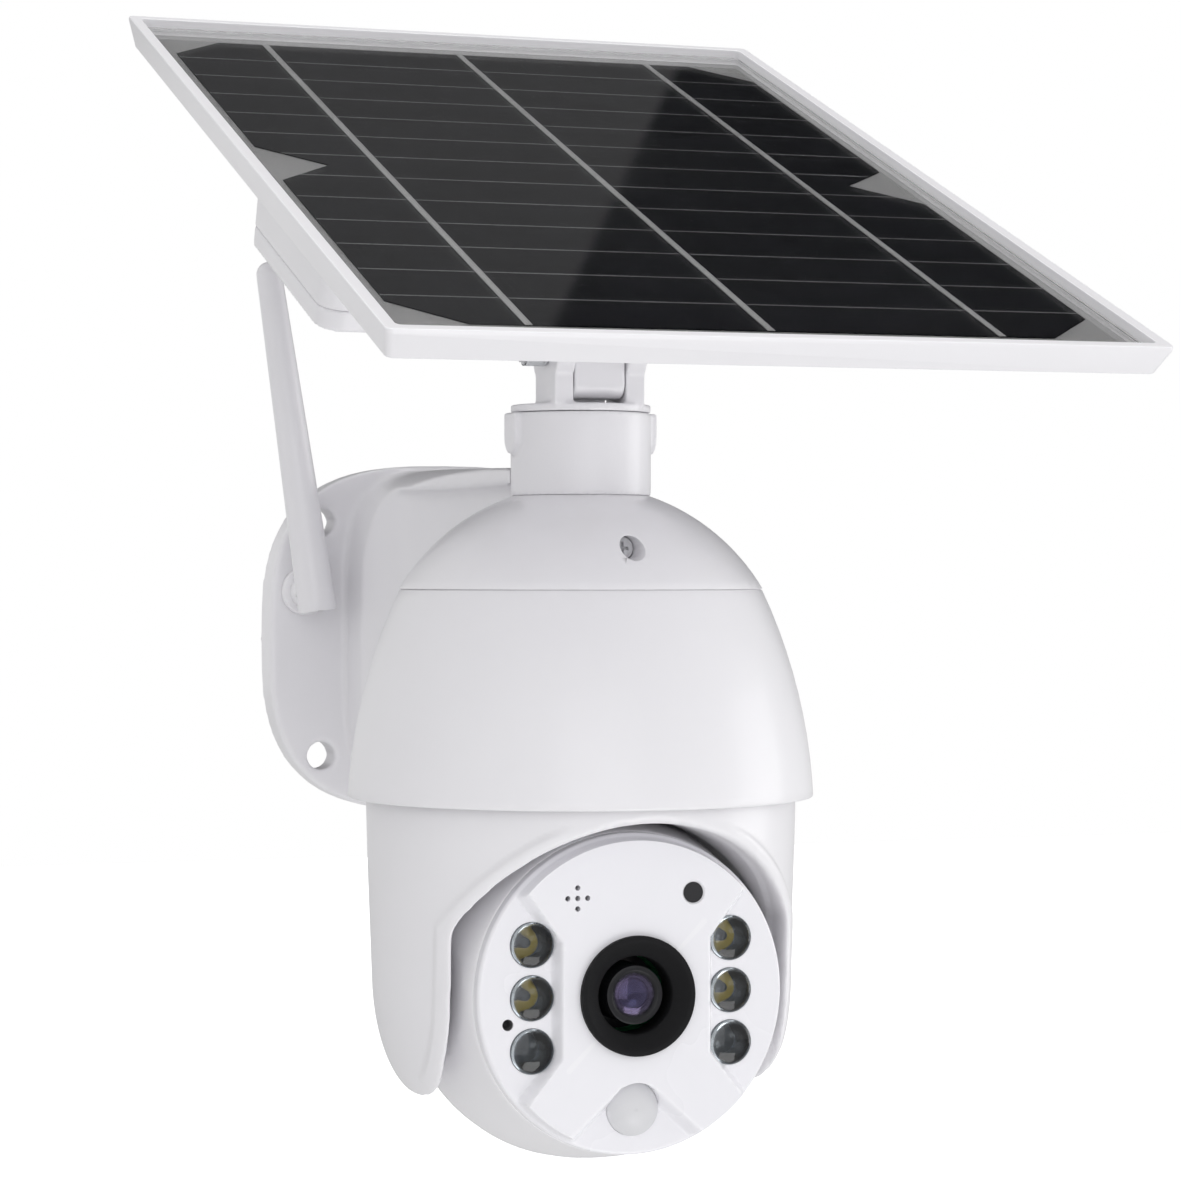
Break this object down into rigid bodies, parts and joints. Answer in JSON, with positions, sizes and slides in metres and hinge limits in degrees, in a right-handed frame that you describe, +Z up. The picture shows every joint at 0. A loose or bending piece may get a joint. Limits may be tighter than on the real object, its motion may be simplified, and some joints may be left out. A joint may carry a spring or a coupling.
{
  "type": "solar security camera",
  "caption": "Wall-mounted security camera: pan and tilt lens head under a sun shield, with a solar panel on a battery box hinged on a mast above it, and a hinged aerial.",
  "frame": {"origin": "centre of the wall plate's back face, where it meets the wall", "axes": "+Y into the wall, +Z up, -Y the way the camera looks at rest, +X to the right seen from the front"},
  "size_m": [0.17, 0.2489, 0.2798],
  "materials": {
    "white_shell": "satin",
    "face_white": "satin",
    "inner_plastic": "matt",
    "dark_plastic": "matt",
    "screw_steel": "satin",
    "circuit_board": "satin",
    "shield_can": "satin",
    "motor_can": "satin",
    "bearing_plastic": "satin",
    "seal_rubber": "matt",
    "hub_metal": "satin",
    "battery_wrap": "satin",
    "back_sheet": "satin",
    "cell_dark": "gloss",
    "busbar_grey": "satin",
    "panel_glass": "gloss",
    "bezel_black": "satin",
    "lens_coated": "gloss",
    "light_board": "satin",
    "led_yellow": "gloss",
    "led_clear": "gloss",
    "pir_white": "satin",
    "smoked_window": "gloss"
  },
  "bodies": {
    "base": {"wall_bracket": "white_shell", "top_cap": "white_shell", "cap_screws": "screw_steel", "sun_shield": "white_shell", "body_cup": "inner_plastic", "chassis": "dark_plastic", "chassis_screws": "screw_steel", "main_board": "circuit_board", "processor_shield": "shield_can", "wifi_module": "shield_can", "pan_motor": "motor_can", "pan_motor_screws": "screw_steel", "pan_bearing": "bearing_plastic", "mast_tube": "white_shell", "mast_set_screws": "screw_steel", "antenna_socket": "white_shell"},
    "antenna": {"antenna_knuckle": "white_shell", "antenna_whip": "white_shell"},
    "panel_foot": {"swivel_clevis": "white_shell", "hinge_bolt": "screw_steel", "hinge_knob": "dark_plastic"},
    "panel": {"hinge_tongue": "white_shell", "tongue_screws": "screw_steel", "battery_box": "white_shell", "battery_cover": "white_shell", "cover_seal": "seal_rubber", "cover_screws": "screw_steel", "battery_cells": "battery_wrap", "cell_contacts": "shield_can", "charge_board": "circuit_board", "port_cap": "seal_rubber", "panel_frame": "white_shell", "backsheet": "back_sheet", "solar_cells": "cell_dark", "cell_busbars": "busbar_grey", "solar_glass": "panel_glass"},
    "yoke": {"yoke_shell": "white_shell", "yoke_hub": "hub_metal", "hub_screws": "screw_steel", "pan_shaft": "screw_steel", "tilt_shaft": "screw_steel", "pivot_pin": "screw_steel"},
    "head": {"head_shell": "white_shell", "pivot_bushes": "bearing_plastic", "tilt_motor": "motor_can", "face_plate": "face_white", "face_seal": "seal_rubber", "lens_bezel": "bezel_black", "lens_barrel": "bezel_black", "lens_glass": "lens_coated", "image_board": "circuit_board", "led_board": "light_board", "led_chips": "led_yellow", "led_lenses": "led_clear", "pir_dome": "pir_white", "light_window": "smoked_window", "speaker": "bezel_black", "card_board": "circuit_board", "card_cover": "seal_rubber"},
    "reset": {"reset_button": "dark_plastic"}
  },
  "joints": [
    {"name": "head_pan", "type": "hinge", "parent": "base", "child": "yoke", "pos_m": [0, -0.118, 0], "axis": [0, 0, 1], "range_deg": [-177.5, 177.5]},
    {"name": "head_tilt", "type": "hinge", "parent": "yoke", "child": "head", "pos_m": [0, -0.118, -0.0775], "axis": [1, 0, 0], "range_deg": [0, 90]},
    {"name": "reset_press", "type": "slide", "parent": "head", "child": "reset", "axis": [0, 0, 1], "range_m": [0, 0.0005], "stiffness_N_per_m": 600},
    {"name": "panel_swivel", "type": "hinge", "parent": "base", "child": "panel_foot", "pos_m": [0, -0.118, 0.0548], "axis": [0, 0, 1], "range_deg": [-90, 90]},
    {"name": "panel_tilt", "type": "hinge", "parent": "panel_foot", "child": "panel", "pos_m": [0, -0.1245, 0.0708], "axis": [1, 0, 0], "range_deg": [-21.8, 40]},
    {"name": "antenna_swing", "type": "hinge", "parent": "base", "child": "antenna", "pos_m": [-0.0387, -0.021, 0.0125], "axis": [0, 1, 0], "range_deg": [-81.6, 8.4]}
  ]
}
